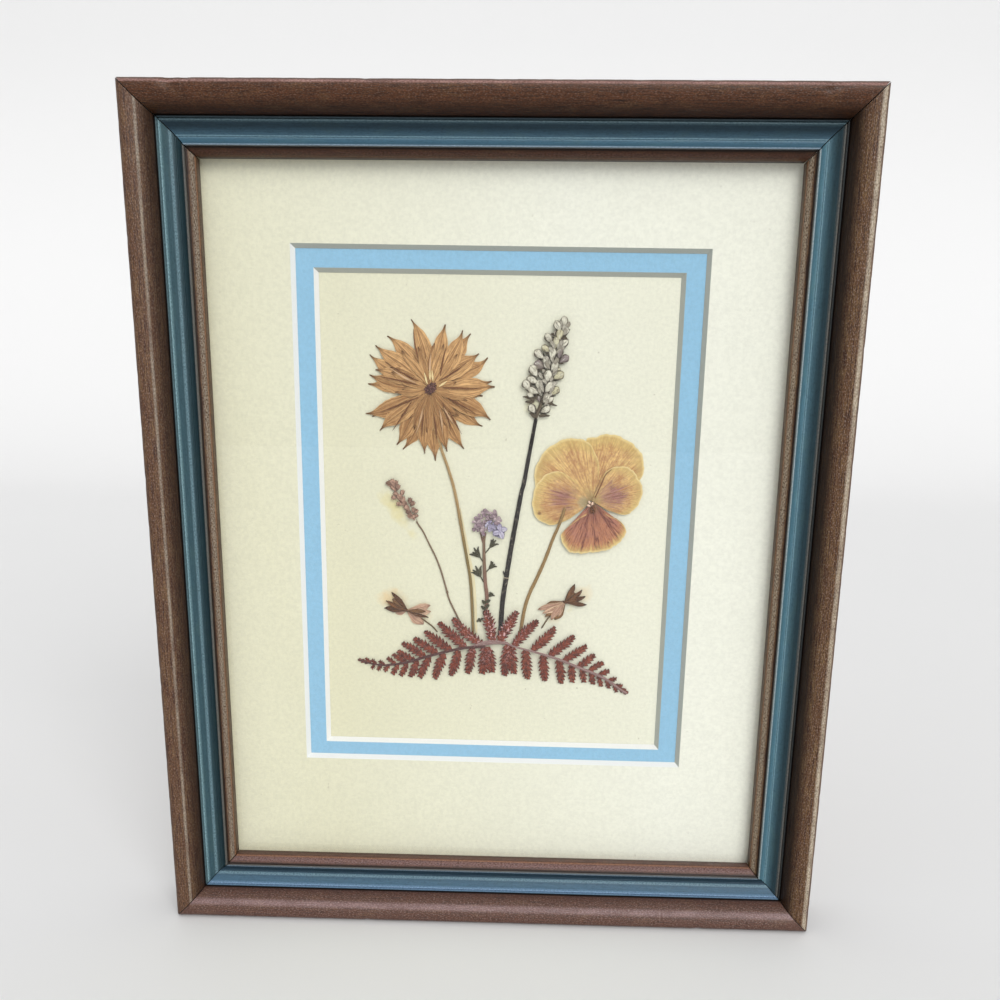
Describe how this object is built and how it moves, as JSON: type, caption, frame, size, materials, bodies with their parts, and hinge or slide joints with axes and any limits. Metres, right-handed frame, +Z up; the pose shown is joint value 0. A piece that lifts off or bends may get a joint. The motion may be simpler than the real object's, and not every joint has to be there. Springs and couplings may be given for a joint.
{
  "type": "pressed flower frame",
  "caption": "Glazed wall frame with mitred profiled rails and a painted cove, bevelled double mats, and pressed dried flowers and fern on a card.",
  "frame": {"origin": "the hanging point: where the wall nail sits in the teeth of the sawtooth hanger, on the plane of the rails' back faces, in the middle of the width", "axes": "+Z up along the frame's height, -Y out of the glass towards the viewer, +X to the viewer's right"},
  "size_m": [0.2318, 0.0272, 0.2825],
  "materials": {
    "frame_wood": "dark brown stained wood with a worn gilt sheen and a teal painted cove, satin",
    "glass": "clear float glass, polished",
    "cream_mat": "matt cream mat board with a fine paper tooth",
    "blue_mat": "matt pale blue mat board with a white core",
    "card": "matt cream card, slightly foxed",
    "backing": "plain brown backing board",
    "steel": "zinc plated steel",
    "tan_petals": "dry tan petals with dark veins",
    "straw_stem": "dry straw coloured stems",
    "pale_florets": "pale translucent florets with dark outlines and mauve flushes",
    "dark_stem": "black brown dry stem",
    "yellow_petals": "dry yellow petals with fine veins and mauve blotches",
    "brown_flowers": "dry brown florets and thin stems",
    "purple_florets": "dry purple florets",
    "bell_petals": "dry pink brown lobes with dark tips",
    "fern": "dry red brown fern"
  },
  "bodies": {
    "root": {"rail_top": "frame_wood", "rail_bottom": "frame_wood", "rail_left": "frame_wood", "rail_right": "frame_wood", "glass_pane": "glass", "cream_mat": "cream_mat", "blue_mat": "blue_mat", "mount_card": "card", "backing_board": "backing", "framers_point_top_1": "steel", "framers_point_top_2": "steel", "framers_point_right_1": "steel", "framers_point_right_2": "steel", "framers_point_bottom_1": "steel", "framers_point_bottom_2": "steel", "framers_point_left_1": "steel", "framers_point_left_2": "steel", "sawtooth_hanger": "steel", "hanger_nail_left": "steel", "hanger_nail_right": "steel", "star_flower_head": "tan_petals", "star_flower_stem": "straw_stem", "lavender_head": "pale_florets", "lavender_stem": "dark_stem", "small_lavender_head": "brown_flowers", "small_lavender_stem": "brown_flowers", "pansy_head": "yellow_petals", "pansy_stem": "straw_stem", "purple_blossom_head": "purple_florets", "purple_blossom_stem": "brown_flowers", "left_bell_head": "bell_petals", "left_bell_stem": "brown_flowers", "right_bell_head": "bell_petals", "right_bell_stem": "brown_flowers", "fern_left_frond": "fern", "fern_right_frond": "fern"}
  },
  "joints": []
}
